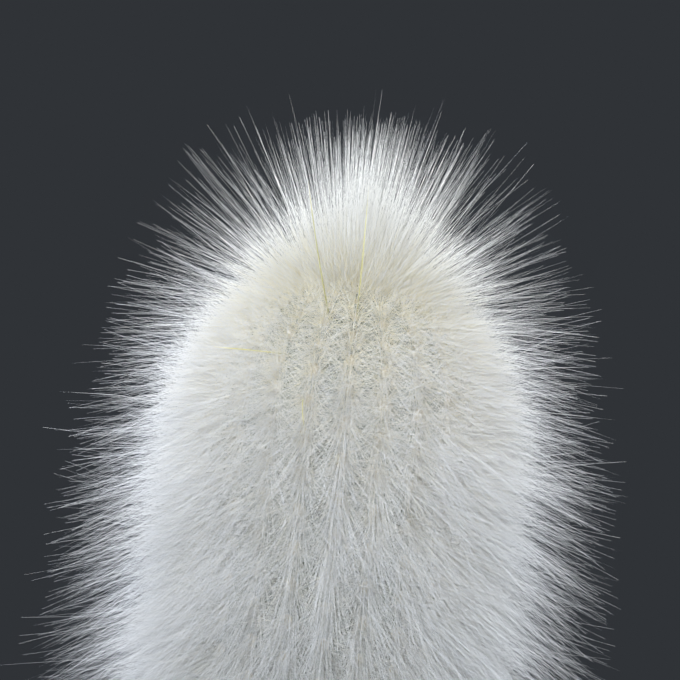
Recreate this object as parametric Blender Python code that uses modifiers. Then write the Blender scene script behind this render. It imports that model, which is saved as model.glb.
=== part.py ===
"""A silver torch cactus in a clay pot.

The stem is one ribbed, domed column with its foot in the soil. Every rib carries a comb of spines,
one tooth for each areole, and a tuft of upright spines stands over the growing point.

Units are metres and +Z is up. The origin is the middle of the pot's underside.
"""
import math

import bmesh
import bpy
from mathutils import Matrix

MM = 0.001
GAP = 0.3 * MM                    # room between neighbours that touch
MERGE = 0.01 * MM                 # weld distance of the turned shapes

# Clay pot: tapered wall, thick rim band, drain hole
POT_HEIGHT = 100 * MM
POT_TOP_RADIUS = 58 * MM
POT_FOOT_RADIUS = 41 * MM
POT_WALL = 5.5 * MM
POT_FLOOR = 7 * MM
RIM_BAND_HEIGHT = 24 * MM
RIM_BAND_STEP = 2.6 * MM
DRAIN_RADIUS = 8 * MM
POT_EDGE_ROUND = 1.2 * MM
TURN_STEPS = 40                   # facets round the turned pieces

# Soil
SOIL_BELOW_RIM = 11 * MM
SOIL_MOUND = 1.2 * MM

# Ribbed stem
RIBS = 25
STEM_RADIUS = 20 * MM
RIB_DEPTH = 2.4 * MM
STEM_ABOVE_SOIL = 180 * MM
DOME_HEIGHT = STEM_RADIUS         # the top is half a ball
FOOT_DEPTH = 26 * MM              # how far the stem stands in the soil
FOOT_RADIUS = 14 * MM
DOME_RINGS = 8
COLUMN_RINGS = 8
FOOT_RINGS = 3

# Combs of spines
AREOLE_PITCH = 5.6 * MM
CROWN_PITCH = 3.4 * MM            # areoles crowd together on the dome
COMB_THICKNESS = 1.2 * MM
COMB_START_RADIUS = 8 * MM        # nearer the growing point the tuft takes over
COMB_SOIL_ROOM = 2 * MM
NOTCH_DEPTH = 0.2                 # share of a tooth's length that stands free of its neighbours

# Tuft over the growing point
TUFT_HEIGHT = 23 * MM
TUFT_HOLLOW = 3 * MM              # how far its middle lies below its inner points
TUFT_INNER_RADIUS = 6.8 * MM      # circle of its inner points
TUFT_RIM_RADIUS = 13.5 * MM       # circle of its outer points
TUFT_RIM_HEIGHT = 15 * MM
TUFT_FOOT_RADIUS = 6.4 * MM
TUFT_POINTS = 12
TUFT_GROOVE = 0.8                 # size of the grooves' ring against the points' ring
TUFT_SEAT_RINGS = 3

SOIL_TOP = POT_HEIGHT - SOIL_BELOW_RIM
APEX = SOIL_TOP + STEM_ABOVE_SOIL


def stem_radius(depth):
    """Radius of the rib crests at a depth below the apex, down to the soil."""
    if depth >= DOME_HEIGHT:
        swell = math.sin((depth - DOME_HEIGHT) / (STEM_ABOVE_SOIL - DOME_HEIGHT) * math.tau)
        return STEM_RADIUS * (1 - 0.02 * swell)
    rise = 1 - depth / DOME_HEIGHT
    return STEM_RADIUS * math.sqrt(1 - rise * rise)


def spine_slope(depth):
    """How far an areole's spines point above level, in radians: up at the top, drooping below."""
    millimetres = depth / MM
    lift = 62 * math.exp(-millimetres / 3.2)
    droop = 34 * (1 - math.exp(-max(millimetres - 5, 0) / 26))
    return math.radians(lift - droop)


def spine_length(depth):
    """Reach of an areole's longest spines."""
    millimetres = depth / MM
    young = 3.5 * math.exp(-millimetres / 4)
    grown = 2.5 * (1 - math.exp(-max(millimetres - 12, 0) / 16))
    return (15.5 + young + grown) * MM


def material(name, colour, roughness):
    made = bpy.data.materials.new(name)
    made.use_nodes = True
    shader = made.node_tree.nodes["Principled BSDF"]
    shader.inputs["Base Color"].default_value = (*colour, 1)
    shader.inputs["Roughness"].default_value = roughness
    shader.inputs["Metallic"].default_value = 0
    return made


def add_object(name, data, collection, finish):
    made = bpy.data.objects.new(name, data)
    collection.objects.link(made)
    made.data.materials.append(finish)
    return made


def turned(name, points, closed, collection, finish):
    """A turned solid: a profile of (radius, height) points, down the outer side, spun about Z."""
    mesh = bpy.data.meshes.new(name)
    edges = [(i, i + 1) for i in range(len(points) - 1)]
    if closed:
        edges.append((len(points) - 1, 0))
    mesh.from_pydata([(radius, 0, height) for radius, height in points], edges, [])
    made = add_object(name, mesh, collection, finish)
    screw = made.modifiers.new("Spin", "SCREW")
    screw.steps = TURN_STEPS
    screw.render_steps = TURN_STEPS
    screw.use_merge_vertices = True
    screw.merge_threshold = MERGE
    screw.use_smooth_shade = True
    return made


def pot_outer_radius(height):
    """Outer wall of the pot below its rim band."""
    top = POT_TOP_RADIUS - RIM_BAND_STEP
    return POT_FOOT_RADIUS + (top - POT_FOOT_RADIUS) * height / POT_HEIGHT


def pot_inner_radius(height):
    return pot_outer_radius(height) - POT_WALL


def build_pot(collection, finish):
    band_foot = POT_HEIGHT - RIM_BAND_HEIGHT
    profile = [
        (POT_TOP_RADIUS, POT_HEIGHT),
        (pot_outer_radius(band_foot) + RIM_BAND_STEP, band_foot),
        (pot_outer_radius(band_foot), band_foot - RIM_BAND_STEP / 2),
        (POT_FOOT_RADIUS, 0),
        (DRAIN_RADIUS, 0),
        (DRAIN_RADIUS, POT_FLOOR),
        (pot_inner_radius(POT_FLOOR), POT_FLOOR),
        (pot_inner_radius(POT_HEIGHT), POT_HEIGHT),
    ]
    pot = turned("pot", profile, True, collection, finish)
    rounded = pot.modifiers.new("Rounded edges", "BEVEL")
    rounded.width = POT_EDGE_ROUND
    rounded.segments = 2
    rounded.limit_method = "ANGLE"
    rounded.angle_limit = math.radians(25)
    return pot


def build_soil(collection, finish):
    floor = POT_FLOOR + GAP
    corner = floor + POT_EDGE_ROUND
    collar = stem_radius(STEM_ABOVE_SOIL) + GAP
    profile = [
        (0, SOIL_TOP - FOOT_DEPTH - GAP),
        (FOOT_RADIUS + GAP, SOIL_TOP - FOOT_DEPTH - GAP),
        (collar, SOIL_TOP + SOIL_MOUND),
        ((collar + pot_inner_radius(SOIL_TOP)) / 2, SOIL_TOP + SOIL_MOUND / 2),
        (pot_inner_radius(SOIL_TOP) - GAP, SOIL_TOP),
        (pot_inner_radius(corner) - GAP, corner),
        (pot_inner_radius(floor) - GAP - POT_EDGE_ROUND, floor),
        (0, floor),
    ]
    return turned("soil", profile, False, collection, finish)


def stem_rings():
    """Crest and groove points of each ring of the stem, as (radius, height), from the apex down."""
    rings = []
    for i in range(1, DOME_RINGS + 1):
        angle = i / DOME_RINGS * math.pi / 2
        depth = DOME_HEIGHT * (1 - math.cos(angle))
        rings.append((stem_radius(depth), RIB_DEPTH * math.sin(angle), APEX - depth))
    for i in range(1, COLUMN_RINGS + 1):
        depth = DOME_HEIGHT + i / COLUMN_RINGS * (STEM_ABOVE_SOIL - DOME_HEIGHT - SOIL_MOUND)
        fading = RIB_DEPTH if i < COLUMN_RINGS else RIB_DEPTH / 2
        rings.append((stem_radius(depth), fading, APEX - depth))
    collar = stem_radius(STEM_ABOVE_SOIL)
    for i in range(1, FOOT_RINGS + 1):
        share = i / FOOT_RINGS
        height = SOIL_TOP + SOIL_MOUND - share * (FOOT_DEPTH + SOIL_MOUND)
        rings.append((collar + (FOOT_RADIUS - collar) * share, 0, height))
    return [((crest, height), (crest - groove, height)) for crest, groove, height in rings]


def drawn_ball(name, folds, top, rings, foot, collection, finish):
    """A ball drawn out to a folded shape: each ring has a crest point and a groove point.

    The ball's first meridian lies at +Y, so counting starts there and the shape is turned to
    have its first crest at the front.
    """
    meridians = 2 * folds
    bands = len(rings) + 1
    shape = bmesh.new()
    bmesh.ops.create_uvsphere(shape, u_segments=meridians, v_segments=bands, radius=1)
    for vertex in shape.verts:
        x, y, z = vertex.co
        ring = round(math.acos(max(-1, min(1, z))) / math.pi * bands)
        if ring == 0:
            vertex.co = (0, 0, top)
        elif ring == bands:
            vertex.co = (0, 0, foot)
        else:
            meridian = round(math.atan2(-x, y) / math.tau * meridians) % meridians
            radius, height = rings[ring - 1][meridian % 2]
            angle = math.tau * meridian / meridians - math.pi / 2
            vertex.co = (radius * math.cos(angle), radius * math.sin(angle), height)
    mesh = bpy.data.meshes.new(name)
    shape.to_mesh(mesh)
    shape.free()
    mesh.shade_smooth()
    return add_object(name, mesh, collection, finish)


def build_stem(collection, finish):
    foot = SOIL_TOP - FOOT_DEPTH
    return drawn_ball("stem", RIBS, APEX, stem_rings(), foot, collection, finish)


def rib_angle(number):
    """Direction of a rib's crest about Z; the first rib faces the front, -Y."""
    return math.tau * number / RIBS - math.pi / 2


def areole_depths():
    """Depths below the apex of the areoles that a comb carries, from the dome to the soil."""
    depths = []
    rise = math.sqrt(1 - (COMB_START_RADIUS / STEM_RADIUS) ** 2)
    depth = DOME_HEIGHT * (1 - rise)
    while APEX - depth + spine_length(depth) * math.sin(spine_slope(depth)) > lowest_tip():
        depths.append(depth)
        if depth < DOME_HEIGHT:
            angle = math.acos(1 - depth / DOME_HEIGHT) + CROWN_PITCH / DOME_HEIGHT
            depth = DOME_HEIGHT * (1 - math.cos(angle))
        else:
            depth += AREOLE_PITCH
    return depths


def lowest_tip():
    return SOIL_TOP + SOIL_MOUND + COMB_SOIL_ROOM


def crest_point(depth):
    """The point just clear of the rib's crest, square to the stem's surface."""
    if depth >= DOME_HEIGHT:
        return stem_radius(depth) + GAP, APEX - depth
    angle = math.acos(1 - depth / DOME_HEIGHT)
    grown = DOME_HEIGHT + GAP
    return grown * math.sin(angle), APEX - DOME_HEIGHT + grown * math.cos(angle)


def spine_point(depth, share):
    """A point along an areole's longest spine, as a share of its length."""
    radius, height = crest_point(depth)
    reach = spine_length(depth) * share
    slope = spine_slope(depth)
    return radius + reach * math.cos(slope), height + reach * math.sin(slope)


def comb_outline():
    """Toothed outer edge going down, then back up along the crest."""
    depths = areole_depths()
    outline = []
    for upper, lower in zip(depths, depths[1:]):
        outline.append(spine_point(upper, 1))
        outline.append(spine_point((upper + lower) / 2, 1 - NOTCH_DEPTH))
    outline.append(spine_point(depths[-1], 1))
    on_column = [depth for depth in depths if depth > DOME_HEIGHT]
    crest = [depth for depth in depths if depth <= DOME_HEIGHT] + on_column[::4] + [depths[-1]]
    for depth in sorted(set(crest), reverse=True):
        outline.append(crest_point(depth))
    return outline


def build_comb(number, collection, finish):
    name = f"spines_rib_{number + 1:02d}"
    curve = bpy.data.curves.new(name, "CURVE")
    curve.dimensions = "2D"
    curve.fill_mode = "BOTH"
    curve.extrude = COMB_THICKNESS / 2
    outline = comb_outline()
    spline = curve.splines.new("POLY")
    spline.points.add(len(outline) - 1)
    for point, (radius, height) in zip(spline.points, outline):
        point.co = (radius, height, 0, 1)
    spline.use_cyclic_u = True
    comb = add_object(name, curve, collection, finish)
    upright = Matrix.Rotation(math.pi / 2, 4, "X")
    comb.matrix_world = Matrix.Rotation(rib_angle(number), 4, "Z") @ upright
    return comb


def dome_height(radius):
    """Height of the dome's surface at a distance from the middle."""
    return APEX - DOME_HEIGHT * (1 - math.sqrt(1 - (radius / STEM_RADIUS) ** 2))


def pointed_ring(radius, height):
    """A ring of the tuft: its points, and the grooves between them, lower and further in."""
    return (radius, APEX + height), (radius * TUFT_GROOVE, APEX + height * TUFT_GROOVE)


def build_tuft(collection, finish):
    """A flared brush with a pointed rim that stands on the dome, clear of the combs."""
    rings = [
        pointed_ring(TUFT_INNER_RADIUS, TUFT_HEIGHT),
        pointed_ring(TUFT_RIM_RADIUS, TUFT_RIM_HEIGHT),
    ]
    for i in range(TUFT_SEAT_RINGS, 0, -1):
        radius = TUFT_FOOT_RADIUS * i / TUFT_SEAT_RINGS
        seat = (radius, dome_height(radius) + GAP)
        rings.append((seat, seat))
    top = APEX + TUFT_HEIGHT - TUFT_HOLLOW
    return drawn_ball("crown_tuft", TUFT_POINTS, top, rings, APEX + GAP, collection, finish)


def main():
    for old in list(bpy.data.objects):
        bpy.data.objects.remove(old, do_unlink=True)
    parts = bpy.data.collections.new("potted_cleistocactus")
    bpy.context.scene.collection.children.link(parts)

    build_pot(parts, material("fired clay", (0.46, 0.17, 0.085), 0.85))
    build_soil(parts, material("gritty soil", (0.055, 0.038, 0.026), 0.95))
    build_stem(parts, material("green skin", (0.13, 0.21, 0.08), 0.55))
    bristle = (0.72, 0.73, 0.70)
    for number in range(RIBS):
        build_comb(number, parts, material(f"white bristles {number + 1:02d}", bristle, 0.6))
    build_tuft(parts, material("cream spines", (0.78, 0.74, 0.58), 0.6))


main()
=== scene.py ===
"""Looks of a potted silver torch cactus: bristles, wool, skin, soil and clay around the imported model.

Every length is in metres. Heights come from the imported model's own boxes.
"""
import math

import bpy
import numpy as np
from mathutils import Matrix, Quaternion, Vector


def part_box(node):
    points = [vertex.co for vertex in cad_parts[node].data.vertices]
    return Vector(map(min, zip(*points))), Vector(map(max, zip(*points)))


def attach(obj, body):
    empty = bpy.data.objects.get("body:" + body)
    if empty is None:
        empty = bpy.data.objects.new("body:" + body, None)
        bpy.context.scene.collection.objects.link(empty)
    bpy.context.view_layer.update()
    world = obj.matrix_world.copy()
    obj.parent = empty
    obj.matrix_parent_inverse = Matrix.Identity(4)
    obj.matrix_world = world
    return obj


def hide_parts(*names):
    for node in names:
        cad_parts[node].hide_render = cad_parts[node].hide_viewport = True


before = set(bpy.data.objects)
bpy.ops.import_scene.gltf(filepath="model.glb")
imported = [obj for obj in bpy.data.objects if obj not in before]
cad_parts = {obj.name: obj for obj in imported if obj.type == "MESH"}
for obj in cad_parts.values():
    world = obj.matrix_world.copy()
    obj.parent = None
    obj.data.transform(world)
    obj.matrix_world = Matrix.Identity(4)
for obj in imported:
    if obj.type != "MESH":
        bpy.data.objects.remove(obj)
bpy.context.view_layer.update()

MM = 0.001
SEED = 41

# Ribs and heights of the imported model, and the radii that its stem was built with
RIBS = sum(name.startswith("spines_rib_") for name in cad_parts)
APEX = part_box("stem")[1].z
STEM_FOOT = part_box("stem")[0].z
SOIL_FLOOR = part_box("soil")[0].z
SOIL_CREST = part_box("soil")[1].z
POT_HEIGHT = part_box("pot")[1].z
STEM_RADIUS = 20 * MM
STEM_FOOT_RADIUS = 14 * MM
SOIL_LEVEL = SOIL_CREST - 1.2 * MM

# Ribs and areoles of the stem
COLUMN_WAVE = 0.02                # share of its radius by which the column swells and narrows again
RIB_DEPTH = 2.4 * MM
GROOVE_POWER = 1.4                # above 1 the crests are broad and the grooves between them narrow
TUBERCLE_SWELL = 0.35 * MM        # each areole sits on a slight swelling of its rib
AREOLE_PITCH = 4.8 * MM           # on the column; they crowd together towards the apex
APEX_PITCH = 1.0 * MM
PITCH_POWER = 0.8                 # below 1 the areoles spread out early on their way down the dome
FIRST_AREOLE = 1.6 * MM           # distance from the growing point, along the dome
LOWEST_AREOLE = 4 * MM            # above the soil
CROWN_RADIUS = 6 * MM             # areoles nearer the middle than this belong to the tuft

# Direction, length and number of an areole's spines by its depth below the apex
UPRIGHT = 82                      # degrees above level at the apex
UPRIGHT_FADE = 2.7 * MM
UPRIGHT_POWER = 1.3
DROOP = 42                        # degrees that old spines hang lower than young ones
DROOP_START = 7 * MM
DROOP_FADE = 21 * MM
SHOULDER_DROOP = 1                # degrees
SHOULDER_REACH = 16.6 * MM
YOUNG_REACH = 9.5 * MM            # longer than that at the apex
YOUNG_FADE = 6 * MM
OLD_REACH = 7.7 * MM              # and longer on the column
OLD_START = 14 * MM
OLD_FADE = 20 * MM
APEX_FULLNESS = 0.5               # outward spines: this share more at the apex
APEX_FADE = 4 * MM
SHOULDER_LOSS = 0.34              # and this share fewer on the shoulder
SHOULDER_DEPTH = 12 * MM
SHOULDER_WIDTH = 9 * MM
RADIAL_FULLNESS = 1.2             # radial spines: this share on the dome
RADIAL_LOSS = 0.6                 # and so much less on the column
RADIAL_START = 8 * MM
RADIAL_FADE = 34 * MM

# Bristles
BOWED = 7                         # bristles of each kind on one areole
STRAIGHT = 86
SHORT = 300
FRONT_SHARE = 0.42                # the rib in front has this much more than the mean, the rib behind less
LOWER_SHARE = 0.30                # older areoles keep this share of them, each thicker
LOWER_GAIN = 2.0
FINE_DEPTH = 54 * MM              # above this depth below the apex none are lost
WORN_DEPTH = 90 * MM              # and from here down the share is the lowest
CROWN_BOWED = 300
CROWN_STRAIGHT = 2500
CROWN_SHORT = 6000
CROWN_LENGTH = 23.2 * MM
CROWN_FAN = 29                    # degrees that the tuft's outermost bristles lean out
CROWN_FAN_POWER = 1.5
CROWN_MIDDLE = 0.72               # above 0.5 the tuft is densest in its middle
CROWN_POWER = 1.35                # above 1 more bristles are short than long
CROWN_LEAN = 0.05                 # the tuft as a whole leans a little to the right
CROWN_EDGE_LOSS = 0.04            # the tuft's edge is this much shorter than its middle
CROWN_STRAYS = (1.03, 1.15)       # the longest few
CROWN_BEND = 0.03
OUTWARD_SPREAD = 16               # degrees
WIDEST_SPREAD = 2.2               # no bristle is further off its direction than this many spreads
OUTWARD_SHORTEST = 0.36           # share of the full length
OUTWARD_RANGE = 0.68
OUTWARD_POWER = 1.6
RADIAL_ANGLES = (8, 88)           # degrees from the areole's mean direction
RADIAL_SHARES = (0.2, 0.5)
RADIAL_YOUNG = 0.4                # those by the apex have this share of that length
RADIAL_ROOTS = 0.4                # of a pitch up or down the rib, to cover the skin between areoles
LEAST_RISE = 0.1                  # how far each bristle at least points away from the skin
AREOLE_SWING = 0.18               # how far one areole's spines differ from the mean direction
STRAY_SHARE = 0.05
STRAY_EXTRA = (0.03, 0.18)        # of the full length
BRISTLE_WIDTH = 0.085 * MM
FINER_POWER = 0.8                 # a rib with more bristles has finer ones
BEND = 0.07                       # a bristle's middle is off the straight line by a quarter of this share
ROOT_SCATTER = 1.3                # millimetres from the middle of an areole
ROOT_SINK = 0.3 * MM              # under the skin
CROWN_SINK = 0.4 * MM             # the same for the tuft
RIB_STAGGER = 0.4                 # of a pitch, from each rib's areoles to the next rib's

# The shade axis of the bristles: 0 is cream, the middle white and 1 dull and darker, partly grey with age and
# partly painted shade
SHADE_WIDTH = 0.012               # how much of the axis one bristle covers
APEX_SHADE = 0.02
WHITE_SHADE = 0.38                # further along the axis below the cream top
CREAM_FADE = 8 * MM
# the old stem's bristles go further towards dull and darker: partly grey with age, partly painted shade that
# darkens the lower stem
DULL_AND_PAINTED_SHADE = 0.5                  # and further still on the old stem
DARKENING_START = 14 * MM
DARKENING_FADE = 50 * MM
APEX_UNEVEN = 0.05                # how much one bristle differs from the next
COLUMN_UNEVEN = 0.11              # and how much more down the column
UNEVEN_FADE = 45 * MM

# Wool, straw-yellow spines and soil
WOOL_SIZES = (0.85, 1.15)         # radius of a full-grown cushion in millimetres
WOOL_FORM = (0.85, 1.15, 0.55)    # across the rib, along it, and out of it
YOUNG_WOOL = 0.45                 # share of that size by the growing point
SPINE_WIDTH = 0.2 * MM
GRIT_COUNT = 420
GRIT_SIZES = (0.8 * MM, 2.0 * MM)
BARK_COUNT = 130
BARK_SIZES = (1.5 * MM, 3.4 * MM)
TIP_CLEARANCE = 1.5 * MM          # from the lowest tips to the soil

# Sizes of the patterns in the materials
FELT_TUFT = 0.4 * MM              # matted knots of wool; the hairs themselves are too fine to show
SKIN_MOTTLE = 2.4 * MM            # green blotches under the wax
SKIN_GRAIN = 0.2 * MM             # pores are 0.05 mm, drawn coarser so that they show
CLAY_CLOUD = 36 * MM              # tones from uneven firing
CLAY_BLOOM = 17 * MM              # patches of dried lime
CLAY_GRAIN = 0.7 * MM             # sand in the clay is 0.2 mm, drawn coarser so that it shows
SOIL_CRUMB = 1.9 * MM
GRIT_PORE = 1.1 * MM              # real pores are 0.4 mm, drawn coarser so that they show
GRIT_TONE = 7.7 * MM              # wider than a stone, so that stones differ
BARK_FIBRE = 1.3 * MM             # the wave pattern repeats every pi / 10 at a scale of 1

DOME_ARC = STEM_RADIUS * math.pi / 2


# The stem's form

def stem_radius(depth):
    """Radius of the rib crests at each depth below the apex: half a ball, then a slowly waved column."""
    depth = np.asarray(depth, float)
    rise = 1 - np.clip(depth, 0, STEM_RADIUS) / STEM_RADIUS
    dome = STEM_RADIUS * np.sqrt(np.clip(1 - rise * rise, 0, 1))
    length = APEX - SOIL_LEVEL - STEM_RADIUS
    swell = np.sin((depth - STEM_RADIUS) / length * math.tau)
    return np.where(depth < STEM_RADIUS, dome, STEM_RADIUS * (1 - COLUMN_WAVE * swell))


def areole_pitch(arc):
    """Step from one areole to the next along a rib, at a distance from the growing point."""
    return APEX_PITCH + (AREOLE_PITCH - APEX_PITCH) * np.minimum(1, arc / DOME_ARC) ** PITCH_POWER


def areole_arcs(rib):
    """Distance of each areole below the crown from the growing point, along its rib."""
    arcs = []
    arc = FIRST_AREOLE + APEX_PITCH * (rib * RIB_STAGGER % 1)
    while arc - DOME_ARC + STEM_RADIUS < APEX - SOIL_CREST - LOWEST_AREOLE:
        if arc > CROWN_RADIUS:
            arcs.append(arc)
        arc += areole_pitch(arc)
    return np.array(arcs)


def depth_of(arc):
    """Depth below the apex of a point at a distance along a rib."""
    on_dome = STEM_RADIUS * (1 - np.cos(np.minimum(arc, DOME_ARC) / STEM_RADIUS))
    return on_dome + np.maximum(arc - DOME_ARC, 0)


def spine_slope(depth):
    """Mean angle of an areole's spines: upright at the apex, level on the shoulder, then drooping."""
    lift = UPRIGHT * np.exp(-(depth / UPRIGHT_FADE) ** UPRIGHT_POWER)
    droop = SHOULDER_DROOP + DROOP * (1 - np.exp(-np.maximum(depth - DROOP_START, 0) / DROOP_FADE))
    return np.radians(lift - droop)


def spine_reach(depth):
    """Length of an areole's longest bristles."""
    young = YOUNG_REACH * np.exp(-depth / YOUNG_FADE)
    old = OLD_REACH * (1 - np.exp(-np.maximum(depth - OLD_START, 0) / OLD_FADE))
    return SHOULDER_REACH + young + old


def worn(depth):
    """How old an areole is: 0 on the young top, rising smoothly to 1 on the old stem."""
    share = np.clip((depth - FINE_DEPTH) / (WORN_DEPTH - FINE_DEPTH), 0, 1)
    return share * share * (3 - 2 * share)


def fullness(depth, kind):
    """Share of its bristles that an areole shows: outward ones are fewest on the shoulder."""
    if kind == "outward":
        apex = APEX_FULLNESS * np.exp(-(depth / APEX_FADE) ** 2)
        return 1 + apex - SHOULDER_LOSS * np.exp(-((depth - SHOULDER_DEPTH) / SHOULDER_WIDTH) ** 2)
    return RADIAL_FULLNESS - RADIAL_LOSS * np.clip((depth - RADIAL_START) / RADIAL_FADE, 0, 1)


# Meshes

def add_piece(name, mesh, finish, slot, *nodes):
    """A piece of the object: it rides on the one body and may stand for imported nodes."""
    piece = bpy.data.objects.new(name, mesh)
    bpy.context.scene.collection.objects.link(piece)
    piece.data.materials.append(finish)
    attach(piece, "root")
    if nodes:
        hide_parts(*nodes)
    return piece


def plain_mesh(name, points, faces):
    """A faceted mesh."""
    mesh = bpy.data.meshes.new(name)
    mesh.from_pydata(points.tolist(), [], faces)
    return mesh


def smooth_mesh(name, points, faces):
    """A mesh that is shaded as a rounded form."""
    mesh = plain_mesh(name, points, faces)
    mesh.shade_smooth()
    return mesh


def across(directions):
    """Two unit vectors square to each direction and to each other."""
    helper = np.where(np.abs(directions[:, 2:3]) < 0.9, [[0, 0, 1]], [[1, 0, 0]])
    first = np.cross(directions, helper)
    first /= np.linalg.norm(first, axis=1, keepdims=True)
    return first, np.cross(directions, first)


def bowed_shape(roots, directions, lengths, widths, bends, rings):
    """Three-sided spines, each bent like a drawn bow, with rings at given shares of their length."""
    first, second = across(directions)
    points, along, beside = [], [], []
    for share in rings:
        centre = roots + lengths[:, None] * (directions * share + bends * (share * share - share))
        radius = (widths / 2 * (1 - 0.4 * share))[:, None]
        for side in range(3):
            angle = math.tau * side / 3
            points.append(centre + radius * (first * math.cos(angle) + second * math.sin(angle)))
        along += [share, share, share + 0.03]
        beside += [0, 1, 0.5]
    points.append(roots + lengths[:, None] * directions)
    faces = [(2, 1, 0)]
    for low in range(0, 3 * len(rings) - 3, 3):
        for side in range(3):
            after = (side + 1) % 3
            faces.append((low + side, low + after, low + after + 3, low + side + 3))
    tip = 3 * len(rings)
    for side in range(3):
        faces.append((tip - 3 + side, tip - 3 + (side + 1) % 3, tip))
    return np.stack(points, 1), along + [1], beside + [0.5], faces


def wedge_shape(roots, directions, lengths, widths, turns):
    """Straight bristles as slim wedges: an edge at the root, and a shorter one square to it at the point."""
    first, second = across(directions)
    c, s = np.cos(turns)[:, None], np.sin(turns)[:, None]
    broad = (first * c + second * s) * (widths * 0.6)[:, None]
    narrow = (second * c - first * s) * (widths * 0.24)[:, None]
    tips = roots + directions * lengths[:, None]
    points = np.stack([roots - broad, roots + broad, tips - narrow, tips + narrow], 1)
    return points, [0, 0, 1, 1], [0, 1, 0, 1], [(0, 1, 2), (1, 0, 3), (2, 3, 0), (3, 2, 1)]


def bristle_mesh(name, groups):
    """Bristles in one mesh, faceted as they are too fine to be rounded.

    Each group is a shape, which the functions above make, the bristles' shades, and the share of a full
    length that they reach. The map OFBake holds the share of a full length across and the shade upwards.
    """
    points, faces, places = [], [], []
    done = 0
    for (group_points, along, beside, pattern), shades, full in groups:
        count, corners = group_points.shape[:2]
        points.append(group_points.reshape(-1, 3))
        up = shades[:, None] + SHADE_WIDTH * np.array(beside)
        places.append(np.stack([np.broadcast_to(full * np.array(along), up.shape), up], 2).reshape(-1, 2))
        for start in range(done, done + count * corners, corners):
            faces += [tuple(start + corner for corner in face) for face in pattern]
        done += count * corners
    mesh = plain_mesh(name, np.concatenate(points), faces)
    vertices = np.empty(len(mesh.loops), int)
    mesh.loops.foreach_get("vertex_index", vertices)
    layer = mesh.uv_layers.new(name="OFBake")
    layer.data.foreach_set("uv", np.concatenate(places)[vertices].astype(np.float32).ravel())
    return mesh


def copies_mesh(name, shape, places):
    """Many copies of one closed shape: shape is (points, faces), places are (matrix, offset) pairs."""
    points, faces = shape
    all_points = np.concatenate([points @ matrix.T + offset for matrix, offset in places])
    all_faces = []
    for number in range(len(places)):
        start = number * len(points)
        all_faces += [tuple(start + corner for corner in face) for face in faces]
    return smooth_mesh(name, all_points, all_faces)


def ball_shape(subdivisions):
    """A ball of radius 1 as (points, faces)."""
    bpy.ops.mesh.primitive_ico_sphere_add(subdivisions=subdivisions, radius=1)
    ball = bpy.context.object
    points = np.array([vertex.co for vertex in ball.data.vertices])
    faces = [tuple(face.vertices) for face in ball.data.polygons]
    bpy.data.objects.remove(ball, do_unlink=True)
    return points, faces


# Materials

def linear(colour):
    """Linear colour of an sRGB hex value."""
    parts = [int(colour[i:i + 2], 16) / 255 for i in (1, 3, 5)]
    return (*[p / 12.92 if p <= 0.04045 else ((p + 0.055) / 1.055) ** 2.4 for p in parts], 1)


def add_node(tree, kind, inputs=None, stops=None, **settings):
    """Adds a shader node with its settings, its colour stops, and its inputs, each a value or an output."""
    made = tree.nodes.new("ShaderNode" + kind)
    for key, value in settings.items():
        setattr(made, key, value)
    if stops:
        ramp = made.color_ramp
        while len(ramp.elements) < len(stops):
            ramp.elements.new(1)
        for element, (position, colour) in zip(ramp.elements, stops):
            element.position = position
            element.color = linear(colour)
    for socket, value in (inputs or {}).items():
        if isinstance(value, bpy.types.NodeSocket):
            tree.links.new(value, made.inputs[socket])
        else:
            made.inputs[socket].default_value = value
    return made


def new_material(name, roughness, specular=0.5):
    """A material with its shader, whose other looks are added by nodes."""
    made = bpy.data.materials.new(name)
    made.use_nodes = True
    shader = made.node_tree.nodes["Principled BSDF"]
    shader.inputs["Roughness"].default_value = roughness
    shader.inputs["Specular IOR Level"].default_value = specular
    return made, made.node_tree, shader


def bristle_fibre():
    """Dead plant fibre, hollow and silky: chalk white, cream where young and duller with age; the old
    bristles' feet are painted dark, a painted shade among their roots.
    """
    made, tree, shader = new_material("bristle_fibre", 0.5, 0.35)
    place = add_node(tree, "UVMap", uv_map="OFBake")
    axes = add_node(tree, "SeparateXYZ", {"Vector": place.outputs["UV"]})
    # the foot's dull end is painted much darker: painted shade at the roots of old bristles; the cream end is
    # their own colour
    foot = add_node(tree, "ValToRGB", {"Fac": axes.outputs["Y"]}, stops=[
        (0.0, "#f6ebbf"), (0.2, "#f5edcb"), (0.4, "#f2eddd"), (0.7, "#bfbdb0"), (1.0, "#8f8d82"),
    ])
    point = add_node(tree, "ValToRGB", {"Fac": axes.outputs["Y"]}, stops=[
        (0.0, "#e6e6df"), (0.3, "#eceeef"), (0.7, "#d6d9da"), (1.0, "#bec1c2"),
    ])
    along = add_node(tree, "MapRange", {"Value": axes.outputs["X"], "From Min": 0.05, "From Max": 0.5})
    tint = add_node(tree, "Mix", {"Factor": along.outputs["Result"], 6: foot.outputs["Color"],
                                  7: point.outputs["Color"]}, data_type="RGBA")
    tree.links.new(tint.outputs[2], shader.inputs["Base Color"])
    return made


def spine_horn():
    """Hard horny spine: straw yellow with an olive foot and a paler point."""
    made, tree, shader = new_material("spine_horn", 0.38)
    place = add_node(tree, "UVMap", uv_map="OFBake")
    axes = add_node(tree, "SeparateXYZ", {"Vector": place.outputs["UV"]})
    along = add_node(tree, "ValToRGB", {"Fac": axes.outputs["X"]}, stops=[
        (0.0, "#a59f5e"), (0.35, "#c9c37c"), (1.0, "#d6d093"),
    ])
    tree.links.new(along.outputs["Color"], shader.inputs["Base Color"])
    return made


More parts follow.
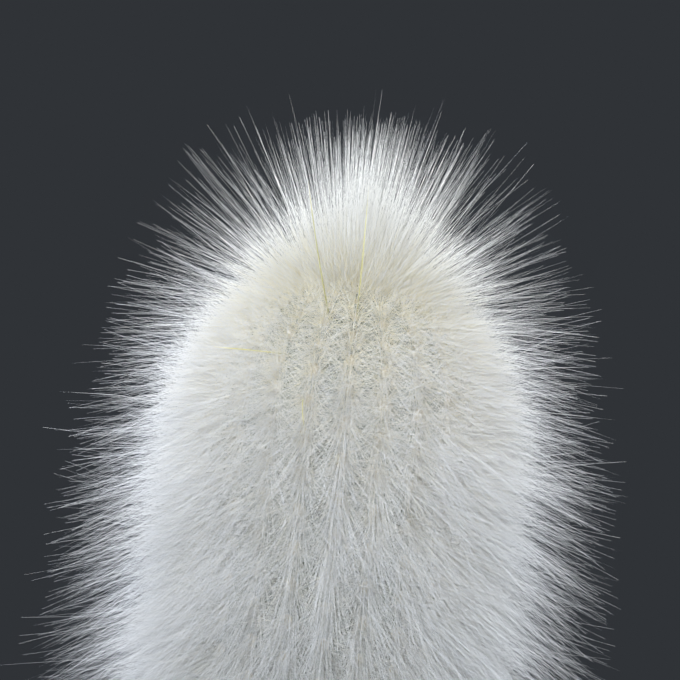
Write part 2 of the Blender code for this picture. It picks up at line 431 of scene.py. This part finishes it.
def areole_felt():
    """Short plant wool, matted by rain: dull cream that swallows light, with painted shade a little darker in
    its hollows.
    """
    made, tree, shader = new_material("areole_felt", 0.9, 0.2)
    place = add_node(tree, "TexCoord")
    tufts = add_node(tree, "TexNoise", {"Vector": place.outputs["Object"], "Scale": 1 / FELT_TUFT,
                                        "Detail": 3})
    # the low parts of the knots, the bump's hollows, are painted darker: painted shade
    colour = add_node(tree, "ValToRGB", {"Fac": tufts.outputs["Fac"]}, stops=[
        (0.3, "#b9ac8a"), (0.7, "#e9e2cc"),
    ])
    bump = add_node(tree, "Bump", {"Height": tufts.outputs["Fac"], "Strength": 0.5,
                                   "Distance": FELT_TUFT / 2})
    tree.links.new(colour.outputs["Color"], shader.inputs["Base Color"])
    tree.links.new(bump.outputs["Normal"], shader.inputs["Normal"])
    return made


def waxy_skin():
    """Cactus skin under a thin wax bloom: grey-green, mottled, with a soft sheen."""
    made, tree, shader = new_material("waxy_skin", 0.55)
    place = add_node(tree, "TexCoord")
    mottle = add_node(tree, "TexNoise", {"Vector": place.outputs["Object"], "Scale": 1 / SKIN_MOTTLE,
                                         "Detail": 4})
    colour = add_node(tree, "ValToRGB", {"Fac": mottle.outputs["Fac"]}, stops=[
        (0.3, "#44513b"), (0.55, "#5d6b50"), (0.8, "#808c73"),
    ])
    grain = add_node(tree, "TexNoise", {"Vector": place.outputs["Object"], "Scale": 1 / SKIN_GRAIN,
                                        "Detail": 2})
    bump = add_node(tree, "Bump", {"Height": grain.outputs["Fac"], "Strength": 0.3,
                                   "Distance": SKIN_GRAIN * 0.4})
    tree.links.new(colour.outputs["Color"], shader.inputs["Base Color"])
    tree.links.new(bump.outputs["Normal"], shader.inputs["Normal"])
    return made


def fired_clay():
    """Unglazed earthenware, pressed and fired: orange-brown, dry, with grains and a pale lime bloom."""
    made, tree, shader = new_material("fired_clay", 0.88, 0.3)
    place = add_node(tree, "TexCoord")
    cloud = add_node(tree, "TexNoise", {"Vector": place.outputs["Object"], "Scale": 1 / CLAY_CLOUD,
                                        "Detail": 5})
    body = add_node(tree, "ValToRGB", {"Fac": cloud.outputs["Fac"]}, stops=[
        (0.3, "#a85a3a"), (0.52, "#b96c48"), (0.75, "#c98461"),
    ])
    bloom = add_node(tree, "TexNoise", {"Vector": place.outputs["Object"], "Scale": 1 / CLAY_BLOOM,
                                        "Detail": 7, "Roughness": 0.7})
    cover = add_node(tree, "MapRange", {"Value": bloom.outputs["Fac"], "From Min": 0.55, "From Max": 0.8,
                                        "To Max": 0.55})
    chalk = add_node(tree, "Mix", {"Factor": cover.outputs["Result"], 6: body.outputs["Color"],
                                   7: linear("#d9bfa8")}, data_type="RGBA")
    grain = add_node(tree, "TexNoise", {"Vector": place.outputs["Object"], "Scale": 1 / CLAY_GRAIN,
                                        "Detail": 3})
    bump = add_node(tree, "Bump", {"Height": grain.outputs["Fac"], "Strength": 0.45, "Distance": 0.3 * MM})
    tree.links.new(chalk.outputs[2], shader.inputs["Base Color"])
    tree.links.new(bump.outputs["Normal"], shader.inputs["Normal"])
    return made


def potting_mix():
    """Peat and bark crumbs, dry: dark brown with paler flecks."""
    made, tree, shader = new_material("potting_mix", 0.95, 0.2)
    place = add_node(tree, "TexCoord")
    crumbs = add_node(tree, "TexVoronoi", {"Vector": place.outputs["Object"], "Scale": 1 / SOIL_CRUMB})
    colour = add_node(tree, "ValToRGB", {"Fac": crumbs.outputs["Color"]}, stops=[
        (0.1, "#2b211a"), (0.5, "#43352a"), (0.9, "#6d5b4a"),
    ])
    bump = add_node(tree, "Bump", {"Height": crumbs.outputs["Distance"], "Strength": 0.8,
                                   "Distance": 0.8 * MM})
    tree.links.new(colour.outputs["Color"], shader.inputs["Base Color"])
    tree.links.new(bump.outputs["Normal"], shader.inputs["Normal"])
    return made


def pumice():
    """Volcanic grit: pale, porous and rough."""
    made, tree, shader = new_material("pumice", 0.92, 0.25)
    place = add_node(tree, "TexCoord")
    pores = add_node(tree, "TexNoise", {"Vector": place.outputs["Object"], "Scale": 1 / GRIT_PORE,
                                        "Detail": 4})
    tone = add_node(tree, "TexNoise", {"Vector": place.outputs["Object"], "Scale": 1 / GRIT_TONE,
                                       "Detail": 1})
    colour = add_node(tree, "ValToRGB", {"Fac": tone.outputs["Fac"]}, stops=[
        (0.3, "#8d8478"), (0.5, "#b9b0a2"), (0.7, "#d5cfc4"),
    ])
    bump = add_node(tree, "Bump", {"Height": pores.outputs["Fac"], "Strength": 0.7, "Distance": 0.3 * MM})
    tree.links.new(colour.outputs["Color"], shader.inputs["Base Color"])
    tree.links.new(bump.outputs["Normal"], shader.inputs["Normal"])
    return made


def bark():
    """Pine bark chips: red-brown with a fibrous grain."""
    made, tree, shader = new_material("bark", 0.9, 0.25)
    place = add_node(tree, "TexCoord")
    fibre = add_node(tree, "TexWave", {"Vector": place.outputs["Object"], "Scale": math.pi / 10 / BARK_FIBRE,
                                       "Distortion": 6, "Detail": 3})
    colour = add_node(tree, "ValToRGB", {"Fac": fibre.outputs["Fac"]}, stops=[
        (0.2, "#3a261a"), (0.6, "#5c3d29"), (0.9, "#7a573c"),
    ])
    tree.links.new(colour.outputs["Color"], shader.inputs["Base Color"])
    return made


# Pieces of the plant

def areole_frames(arcs, rng=None):
    """Areoles along one rib that faces +X: depth, seat on the skin, outward normal, mean spine direction."""
    depth = depth_of(arcs)
    tilt = np.minimum(arcs, DOME_ARC) / STEM_RADIUS
    zero = np.zeros_like(depth)
    seat = np.stack([stem_radius(depth), zero, APEX - depth], 1)
    normal = np.stack([np.sin(tilt), zero, np.cos(tilt)], 1)
    slope = spine_slope(depth)
    mean = np.stack([np.cos(slope), zero, np.sin(slope)], 1)
    if rng is not None:
        mean = mean + rng.normal(0, AREOLE_SWING, mean.shape)
        mean /= np.linalg.norm(mean, axis=1, keepdims=True)
    return depth, seat, normal, mean


def spread_from(mean, off, rng):
    """Unit directions at given angles from each mean direction, each with its unit sideways part."""
    first, second = across(mean)
    turn = rng.uniform(0, math.tau, len(mean))
    sideways = first * np.cos(turn)[:, None] + second * np.sin(turn)[:, None]
    return mean * np.cos(off)[:, None] + sideways * np.sin(off)[:, None], sideways


def crowding(rib):
    """How many bristles a rib carries, against the mean: more and finer ones towards the front."""
    return 1 + FRONT_SHARE * math.cos(math.tau * rib / RIBS)


def bristle_rows(arcs, per_areole, kind, rng):
    """Bristles of the areoles along one rib that faces +X.

    Outward bristles follow the areole's mean direction; the shorter radial ones spread over the skin.
    """
    deep = depth_of(arcs)
    room = areole_pitch(arcs) / AREOLE_PITCH * stem_radius(deep) / STEM_RADIUS
    kept = fullness(deep, kind) * (1 - (1 - LOWER_SHARE) * worn(deep))
    per_areole = np.maximum(np.round(per_areole * room * kept), 2).astype(int)
    depth, seat, normal, mean = (np.repeat(a, per_areole, 0) for a in areole_frames(arcs, rng))
    count = len(depth)
    if kind == "outward":
        off = np.radians(OUTWARD_SPREAD * np.minimum(np.abs(rng.normal(0, 1, count)), WIDEST_SPREAD))
        share = OUTWARD_SHORTEST + OUTWARD_RANGE * rng.random(count) ** OUTWARD_POWER
        share += np.where(rng.random(count) < STRAY_SHARE, rng.uniform(*STRAY_EXTRA, count), 0)
    else:
        off = np.radians(rng.uniform(*RADIAL_ANGLES, count))
        grown = RADIAL_YOUNG + (1 - RADIAL_YOUNG) * np.minimum(1, depth / STEM_RADIUS)
        share = rng.uniform(*RADIAL_SHARES, count) * grown
    directions, sideways = spread_from(mean, off, rng)
    lean = (directions * normal).sum(1)
    directions += normal * np.maximum(LEAST_RISE - lean, 0)[:, None]
    directions /= np.linalg.norm(directions, axis=1, keepdims=True)
    lengths = spine_reach(depth) * share
    roots = seat + sideways * (rng.uniform(0, ROOT_SCATTER, count) * MM)[:, None] - normal * ROOT_SINK
    if kind == "radial":
        down = np.stack([normal[:, 2], normal[:, 1], -normal[:, 0]], 1)
        pitch = np.repeat(areole_pitch(arcs), per_areole)
        roots += down * (pitch * rng.uniform(-RADIAL_ROOTS, RADIAL_ROOTS, count))[:, None]
    bends = rng.normal(0, BEND, (count, 3))
    bends[:, 2] -= BEND
    bends -= directions * (bends * directions).sum(1)[:, None]
    return roots, directions, lengths, bends, depth


def turned_about(points, rib):
    """Points or directions of a rib that faces +X, turned to where that rib is; the first faces -Y."""
    angle = math.tau * rib / RIBS - math.pi / 2
    c, s = math.cos(angle), math.sin(angle)
    return points @ np.array([[c, s, 0], [-s, c, 0], [0, 0, 1]])


def above_soil(roots, directions, lengths):
    """Lifts the directions whose tips would reach into the soil, up to nearly upright."""
    lowest = SOIL_CREST + TIP_CLEARANCE
    slope = np.maximum(directions[:, 2], (lowest - roots[:, 2]) / lengths)
    slope = np.minimum(slope, 0.95)
    flat = directions[:, :2]
    scale = np.sqrt(np.maximum(1 - slope * slope, 0)) / np.linalg.norm(flat, axis=1)
    return np.concatenate([flat * scale[:, None], slope[:, None]], 1)


def shade_of(depth, rng):
    """Place on the shade axis: cream by the apex, white below it, duller and darker down the old stem, partly
    grey with age and partly painted shade.
    """
    young = WHITE_SHADE * (1 - np.exp(-depth / CREAM_FADE))
    # darker down the stem: partly the grey of old bristles, partly painted shade for the light that falls off
    # lower down
    old = DULL_AND_PAINTED_SHADE * np.clip((depth - DARKENING_START) / DARKENING_FADE, 0, 1)
    uneven = APEX_UNEVEN + COLUMN_UNEVEN * np.clip(depth / UNEVEN_FADE, 0, 1)
    return np.clip(APEX_SHADE + young + old + rng.normal(0, uneven), 0, 1 - SHADE_WIDTH)


def rows_of_rib(rib, fibre):
    """The bristles of one rib below the crown."""
    rng = np.random.default_rng(SEED + rib)
    arcs = areole_arcs(rib)
    groups = []
    for per_areole, kind, widths, full in (
        (BOWED, "outward", (0.5, 0.8), 1),
        (STRAIGHT, "outward", (0.3, 0.48), 1),
        (SHORT, "radial", (0.6, 0.85), 0.5),
    ):
        roots, directions, lengths, bends, depth = bristle_rows(arcs, per_areole * crowding(rib), kind, rng)
        directions = turned_about(above_soil(roots, directions, lengths), rib)
        roots = turned_about(roots, rib)
        width = BRISTLE_WIDTH * rng.uniform(*widths, len(roots)) * (1 + (LOWER_GAIN - 1) * worn(depth))
        width /= crowding(rib) ** FINER_POWER
        if per_areole == BOWED:
            shape = bowed_shape(roots, directions, lengths, width, turned_about(bends, rib), (0, 0.6))
        else:
            shape = wedge_shape(roots, directions, lengths, width, rng.uniform(0, math.pi, len(roots)))
        groups.append((shape, shade_of(depth, rng), full))
    mesh = bristle_mesh(f"bristles_rib_{rib + 1:02d}", groups)
    add_piece(mesh.name, mesh, fibre, "bristles", f"spines_rib_{rib + 1:02d}")


def crown_tuft(fibre):
    """Upright bristles crowded over the growing point like a brush, with shorter ones between."""
    rng = np.random.default_rng(SEED + RIBS)
    # each kind: how many, how far from the middle, shares of the length, degrees off, widths, reach
    kinds = (
        (CROWN_BOWED, CROWN_RADIUS, (0.38, 1.0), 4, (0.5, 0.8), 1),
        (CROWN_STRAIGHT, CROWN_RADIUS, (0.35, 1.0), 6, (0.28, 0.45), 1),
        (CROWN_SHORT, CROWN_RADIUS * 1.8, (0.14, 0.56), 16, (0.6, 0.9), 0.7),
    )
    groups = []
    for count, spread, shares, stray, widths, full in kinds:
        away = spread * rng.uniform(0, 1, count) ** CROWN_MIDDLE
        angle = rng.uniform(0, math.tau, count)
        tilt = np.arcsin(away / STEM_RADIUS)
        out = np.stack([np.cos(angle), np.sin(angle), np.zeros(count)], 1)
        normal = out * np.sin(tilt)[:, None]
        normal[:, 2] = np.cos(tilt)
        depth = STEM_RADIUS * (1 - np.cos(tilt))
        roots = normal * (STEM_RADIUS - CROWN_SINK)
        roots[:, 2] += APEX - STEM_RADIUS
        lean = np.radians(CROWN_FAN) * (away / CROWN_RADIUS) ** CROWN_FAN_POWER
        mean = out * np.sin(lean)[:, None]
        mean[:, 2] = np.cos(lean)
        mean[:, 0] += CROWN_LEAN
        mean /= np.linalg.norm(mean, axis=1, keepdims=True)
        off = np.radians(stray * np.minimum(np.abs(rng.normal(0, 1, count)), WIDEST_SPREAD))
        directions, _ = spread_from(mean, off, rng)
        lengths = CROWN_LENGTH * (shares[0] + (shares[1] - shares[0]) * rng.random(count) ** CROWN_POWER)
        lengths *= 1 - CROWN_EDGE_LOSS * away / CROWN_RADIUS
        lengths *= np.where(rng.random(count) < STRAY_SHARE, rng.uniform(*CROWN_STRAYS, count), 1)
        width = BRISTLE_WIDTH * rng.uniform(*widths, count)
        if count == CROWN_BOWED:
            bends = rng.normal(0, CROWN_BEND, (count, 3))
            shape = bowed_shape(roots, directions, lengths, width, bends, (0, 0.6))
        else:
            shape = wedge_shape(roots, directions, lengths, width, rng.uniform(0, math.pi, count))
        groups.append((shape, shade_of(depth, rng), full))
    mesh = bristle_mesh("crown_bristles", groups)
    add_piece(mesh.name, mesh, fibre, "crown_spines", "crown_tuft")


def stem_skin(finish):
    """The ribbed column as a closed skin, each rib rounded and swollen under its areoles."""
    per_rib = 8
    around = RIBS * per_rib
    arcs = np.concatenate([
        np.linspace(0.4 * MM, DOME_ARC, 26),
        np.linspace(DOME_ARC, DOME_ARC + APEX - SOIL_LEVEL - STEM_RADIUS, 100)[1:],
    ])
    depth = depth_of(arcs)
    crest = stem_radius(depth)
    grown = np.clip(crest / STEM_RADIUS, 0, 1)[:, None]
    radius = np.empty((len(arcs), around))
    angle = np.arange(around) / around * math.tau
    groove = np.abs(np.sin(angle * RIBS / 2)) ** GROOVE_POWER
    for rib in range(RIBS):
        nearest = np.abs(arcs[:, None] - areole_arcs(rib)[None, :]).min(1)
        swell = TUBERCLE_SWELL * (np.cos(np.clip(nearest / AREOLE_PITCH, 0, 0.5) * math.tau) - 1)
        columns = np.arange(rib * per_rib - per_rib // 2, rib * per_rib + per_rib // 2)
        shape = swell[:, None] * (1 - groove[columns]) - RIB_DEPTH * grown * groove[columns]
        radius[:, columns] = crest[:, None] + grown * shape
    foot_shares = np.linspace(0, 1, 6)[1:]
    foot = crest[-1] + (STEM_FOOT_RADIUS - crest[-1]) * foot_shares
    radius = np.concatenate([radius, np.repeat(foot[:, None], around, 1)])
    low = APEX - depth[-1]
    heights = np.concatenate([APEX - depth, low + (STEM_FOOT - low) * foot_shares])
    turn = angle - math.pi / 2
    height = np.repeat(heights[:, None], around, 1)
    rings = np.stack([radius * np.cos(turn), radius * np.sin(turn), height], 2)
    mesh = smooth_mesh("stem_skin", *closed_rings(rings, (0, 0, APEX), (0, 0, STEM_FOOT)))
    add_piece("stem_skin", mesh, finish, "stem_skin", "stem")


def closed_rings(rings, top, foot):
    """Points and outward faces of rings stacked from the top down, closed by a point at each end."""
    count, around = rings.shape[:2]
    points = np.concatenate([rings.reshape(-1, 3), [top], [foot]])
    faces = []
    for i in range(count - 1):
        for j in range(around):
            after = (j + 1) % around
            faces.append((i * around + after, i * around + j, (i + 1) * around + j, (i + 1) * around + after))
    last = (count - 1) * around
    for j in range(around):
        after = (j + 1) % around
        faces.append((j, after, len(points) - 2))
        faces.append((last + after, last + j, len(points) - 1))
    return points, faces


def areole_wool(finish):
    """An oval cushion of felt under every cluster of bristles."""
    rng = np.random.default_rng(SEED + 100)
    places = []
    for rib in range(RIBS):
        depth, seat, normal, _ = areole_frames(areole_arcs(rib))
        seats, normals = turned_about(seat, rib), turned_about(normal, rib)
        for place, up, deep in zip(seats, normals, depth):
            grown = min(1, YOUNG_WOOL + deep / (STEM_RADIUS * 1.5))
            along = np.array([-up[1], up[0], 0]) / np.hypot(up[0], up[1])
            down = np.cross(along, up)
            size = rng.uniform(*WOOL_SIZES) * grown * MM
            axes = (along, down, up)
            matrix = np.stack([axis * size * part for axis, part in zip(axes, WOOL_FORM)], 1)
            places.append((matrix, place - up * TUBERCLE_SWELL * 0.4))
    mesh = copies_mesh("areole_wool", ball_shape(1), places)
    add_piece("areole_wool", mesh, finish, "crown_spines")


def central_spines(finish):
    """The few long straw-yellow spines: four that show in front, and one on each rib."""
    rng = np.random.default_rng(SEED + 200)
    roots = [
        (-3.2 * MM, -14.7 * MM, APEX - 6.9 * MM),
        (0.3 * MM, -14.5 * MM, APEX - 6.3 * MM),
        (-8.0 * MM, -16.6 * MM, APEX - 12.0 * MM),
        (-5.6 * MM, -18.8 * MM, APEX - 17.0 * MM),
    ]
    directions = [(-0.18, -0.66, 0.73), (-0.01, -0.64, 0.76), (-0.80, -0.60, 0.02), (0.05, -0.95, -0.20)]
    lengths = [23 * MM, 21 * MM, 12 * MM, 15 * MM]
    for rib in range(RIBS):
        depth, seat, _, mean = areole_frames(areole_arcs(rib), rng)
        row = rng.integers(len(depth) // 2, len(depth))
        roots.append(turned_about(seat[row], rib))
        directions.append(turned_about(mean[row], rib))
        lengths.append(spine_reach(depth[row]) * rng.uniform(0.6, 0.8))
    roots, directions, lengths = np.array(roots), np.array(directions), np.array(lengths)
    directions /= np.linalg.norm(directions, axis=1, keepdims=True)
    directions = above_soil(roots, directions, lengths)
    widths = np.full(len(roots), SPINE_WIDTH)
    bends = rng.normal(0, 0.05, roots.shape)
    shape = bowed_shape(roots, directions, lengths, widths, bends, (0, 0.25, 0.5, 0.75))
    mesh = bristle_mesh("central_spines", [(shape, np.full(len(roots), 0.5), 1)])
    add_piece("central_spines", mesh, finish, "crown_spines")


# Soil and pot

def build_soil(finish):
    """Crumbly soil that fills the pot, lumpy on top and closed below."""
    around, lump_height, highest = 160, 0.35 * MM, SOIL_CREST + 0.4 * MM
    outer_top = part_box("soil")[1].x
    shares = np.linspace(0, 1, 46)[1:]
    angle = np.arange(around) / around * math.tau
    rng = np.random.default_rng(SEED + 300)
    radius = np.repeat((outer_top * shares)[:, None], around, 1)
    height = SOIL_LEVEL + (SOIL_CREST - SOIL_LEVEL) * np.clip(1 - shares, 0, 1)[:, None] * 1.6
    lumps = rng.normal(0, 1, radius.shape)
    for _ in range(2):
        lumps = (lumps + np.roll(lumps, 1, 0) + np.roll(lumps, 1, 1) + np.roll(lumps, -1, 1)) / 2.2
    height = np.minimum(height + lumps * lump_height, highest)
    low_radius = outer_top - 7 * MM
    walls = np.array([
        (outer_top - 0.4 * MM, SOIL_LEVEL - 2 * MM),
        (low_radius - 3 * MM, SOIL_FLOOR + 2 * MM),
        (low_radius - 5 * MM, SOIL_FLOOR),
    ])
    radius = np.concatenate([radius, np.repeat(walls[:, :1], around, 1)])
    height = np.concatenate([height, np.repeat(walls[:, 1:], around, 1)])
    rings = np.stack([radius * np.cos(angle), radius * np.sin(angle), height], 2)
    mesh = smooth_mesh("potting_soil", *closed_rings(rings, (0, 0, SOIL_CREST), (0, 0, SOIL_FLOOR)))
    add_piece("potting_soil", mesh, finish, "soil", "soil")


def scatter_on_soil(name, shape, count, sizes, flatness, finish, seed):
    """Loose bits that lie on the soil between the stem and the pot."""
    rng = np.random.default_rng(seed)
    clear = 1.5 * MM
    inner, outer = STEM_RADIUS + clear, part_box("soil")[1].x - clear
    places = []
    for _ in range(count):
        away = math.sqrt(rng.uniform(inner * inner, outer * outer))
        angle = rng.uniform(0, math.tau)
        size = rng.uniform(*sizes)
        stretch = np.diag(size * np.array([1, rng.uniform(0.6, 0.95), flatness * rng.uniform(0.8, 1.2)]))
        tip = Quaternion((0, 0, 1), rng.uniform(0, math.tau)) @ Quaternion((1, 0, 0), rng.normal(0, 0.35))
        matrix = np.array(tip.to_matrix()) @ stretch
        height = SOIL_LEVEL + (SOIL_CREST - SOIL_LEVEL) * (1 - away / outer) + size * flatness * 0.35
        places.append((matrix, np.array([away * math.cos(angle), away * math.sin(angle), height])))
    mesh = copies_mesh(name, shape, places)
    add_piece(name, mesh, finish, "soil")


def lumpy(shape, amount, seed):
    """A shape with its points moved in and out at random, for stones and chips."""
    points, faces = shape
    rng = np.random.default_rng(seed)
    return points * rng.uniform(1 - amount, 1 + amount, (len(points), 1)), faces


def rounded(corners, radii, steps=5):
    """A closed outline of (radius, height) corners with each corner rounded by an arc."""
    outline = []
    count = len(corners)
    for i in range(count):
        here = np.array(corners[i], float)
        before, after = np.array(corners[i - 1]) - here, np.array(corners[(i + 1) % count]) - here
        before, after = before / np.linalg.norm(before), after / np.linalg.norm(after)
        half = math.acos(np.clip(before @ after, -1, 1)) / 2
        reach = radii[i] / math.tan(half)
        middle = before + after
        centre = here + middle / np.linalg.norm(middle) * radii[i] / math.sin(half)
        start, end = here + before * reach - centre, here + after * reach - centre
        sweep = math.atan2(start[0] * end[1] - start[1] * end[0], start @ end)
        for k in range(steps + 1):
            turn = sweep * k / steps
            c, s = math.cos(turn), math.sin(turn)
            outline.append(centre + np.array([c * start[0] - s * start[1], s * start[0] + c * start[1]]))
    return outline


def build_pot(finish):
    """A pressed clay pot: tapered wall, thick rim band, drain hole, and faint turning lines."""
    band_foot = POT_HEIGHT - 24 * MM
    foot, top, wall, step = 41 * MM, 55.4 * MM, 5.5 * MM, 2.6 * MM
    floor, drain = 7 * MM, 8 * MM

    def outer(height):
        """Outer radius of the tapered wall at a height."""
        return foot + (top - foot) * height / POT_HEIGHT

    corners = [
        (outer(POT_HEIGHT) + step - 0.2 * MM, POT_HEIGHT),
        (outer(band_foot) + step, band_foot),
        (outer(band_foot), band_foot - step / 2),
        (foot, 0),
        (drain, 0),
        (drain, floor),
        (outer(floor) - wall, floor),
        (outer(POT_HEIGHT) - wall, POT_HEIGHT),
    ]
    radii = np.array([2.0, 1.2, 0.8, 1.6, 1.0, 1.0, 3.0, 2.0]) * MM
    outline = []
    rounded_corners = rounded(corners, radii)
    for i, point in enumerate(rounded_corners):
        after = rounded_corners[(i + 1) % len(rounded_corners)]
        pieces = max(1, int(np.linalg.norm(after - point) / (2.2 * MM)))
        outline += [point + (after - point) * k / pieces for k in range(pieces)]
    outline = np.array(outline)
    around = 144
    angle = np.arange(around) / around * math.tau
    heights = outline[:, 1]
    lines = 0.10 * MM * np.sin(heights / (1.7 * MM)) + 0.08 * MM * np.sin(heights / (4.3 * MM) + 1)
    quiet = np.clip((outline[:, 0] - 20 * MM) / (10 * MM), 0, 1)
    radius = outline[:, 0] + (lines - 0.15 * MM) * quiet
    rings = np.stack([
        radius[:, None] * np.cos(angle),
        radius[:, None] * np.sin(angle),
        np.repeat(heights[:, None], around, 1),
    ], 2)
    count = len(outline)
    faces = []
    for i in range(count):
        below = (i + 1) % count
        for j in range(around):
            after = (j + 1) % around
            faces.append((i * around + after, i * around + j, below * around + j, below * around + after))
    mesh = smooth_mesh("clay_pot", rings.reshape(-1, 3), faces)
    add_piece("clay_pot", mesh, finish, "clay", "pot")


# Studio

def studio_light(name, place, aim, size, power, colour):
    """A round soft light that faces a point and doesn't show in the picture."""
    lamp = bpy.data.lights.new(name, "AREA")
    lamp.shape = "DISK"
    lamp.size = size
    lamp.energy = power
    lamp.color = linear(colour)[:3]
    made = bpy.data.objects.new(name, lamp)
    made.location = place
    made.rotation_euler = (Vector(aim) - Vector(place)).to_track_quat("-Z", "Y").to_euler()
    made.visible_camera = False
    bpy.context.scene.collection.objects.link(made)


def build_studio():
    """Plain pale floor, dark surroundings and soft lights.

    Cool light comes from the left and neutral light from the front; one behind lights the bristles' edges.
    """
    crown = (0, 0, APEX - 0.02)
    studio_light("key_light", (-0.60, -0.45, APEX - 0.06), crown, 0.7, 3.2, "#c9dcff")
    studio_light("front_light", (-0.12, -0.70, APEX + 0.20), crown, 0.4, 6.8, "#fafbff")
    studio_light("soft_light", (-0.10, -0.75, APEX + 0.55), crown, 1.3, 4.5, "#fffaf0")
    studio_light("fill_light", (0.65, -0.20, APEX + 0.15), crown, 0.6, 0.6, "#cfe0ff")
    studio_light("top_light", (-0.05, 0.10, APEX + 0.70), crown, 0.7, 0.5, "#ffffff")
    studio_light("back_light", (0.12, 0.92, APEX + 0.02), crown, 1.0, 13.0, "#eaf1ff")

    world = bpy.data.worlds.new("dark_studio")
    bpy.context.scene.world = world
    world.use_nodes = True
    world.node_tree.nodes["Background"].inputs["Color"].default_value = linear("#303337")
    world.node_tree.nodes["Background"].inputs["Strength"].default_value = 1.0

    bpy.ops.mesh.primitive_circle_add(vertices=96, radius=0.62, fill_type="NGON", location=(0, 0, 0))
    floor = bpy.context.object
    floor.name = "floor"
    made, _, shader = new_material("pale_card", 0.9, 0.2)
    shader.inputs["Base Color"].default_value = linear("#d8d8d6")
    floor.data.materials.append(made)


def build_camera():
    """The photograph's view: level with the crown and close, its frame 95.2 mm wide at the stem."""
    frame_width = 95.2 * MM
    lens, sensor = 85, 36
    distance = frame_width * lens / sensor
    elevation = math.radians(1)
    lean = math.radians(-5.5)
    target = Vector((-1.6 * MM, 0, APEX - 9.8 * MM))
    data = bpy.data.cameras.new("camera")
    data.lens = lens
    data.sensor_width = sensor
    data.clip_start = 0.01
    camera = bpy.data.objects.new("camera", data)
    back = Vector((0, -math.cos(elevation), math.sin(elevation)))
    camera.location = target + back * distance
    camera.rotation_mode = "QUATERNION"
    camera.rotation_quaternion = (-back).to_track_quat("-Z", "Y") @ Quaternion((0, 0, 1), -lean)
    bpy.context.scene.collection.objects.link(camera)
    bpy.context.scene.camera = camera


def main():
    """The plant from the stem outwards, then soil and pot, then studio and camera."""
    fibre = bristle_fibre()
    stem_skin(waxy_skin())
    for rib in range(RIBS):
        rows_of_rib(rib, fibre)
    crown_tuft(fibre)
    areole_wool(areole_felt())
    central_spines(spine_horn())
    build_soil(potting_mix())
    stone = lumpy(ball_shape(2), 0.22, SEED + 5)
    scatter_on_soil("pumice_grit", stone, GRIT_COUNT, GRIT_SIZES, 0.75, pumice(), SEED + 400)
    chip = lumpy(ball_shape(2), 0.3, SEED + 6)
    scatter_on_soil("bark_chips", chip, BARK_COUNT, BARK_SIZES, 0.32, bark(), SEED + 500)
    build_pot(fired_clay())
    build_studio()
    build_camera()
    bpy.context.scene.view_settings.view_transform = "Standard"
    # light that bounces on among the bristles adds little and takes long
    bpy.context.scene.cycles.diffuse_bounces = 3
    bpy.context.scene.cycles.max_bounces = 4
    bpy.context.scene.cycles.use_light_tree = False


main()
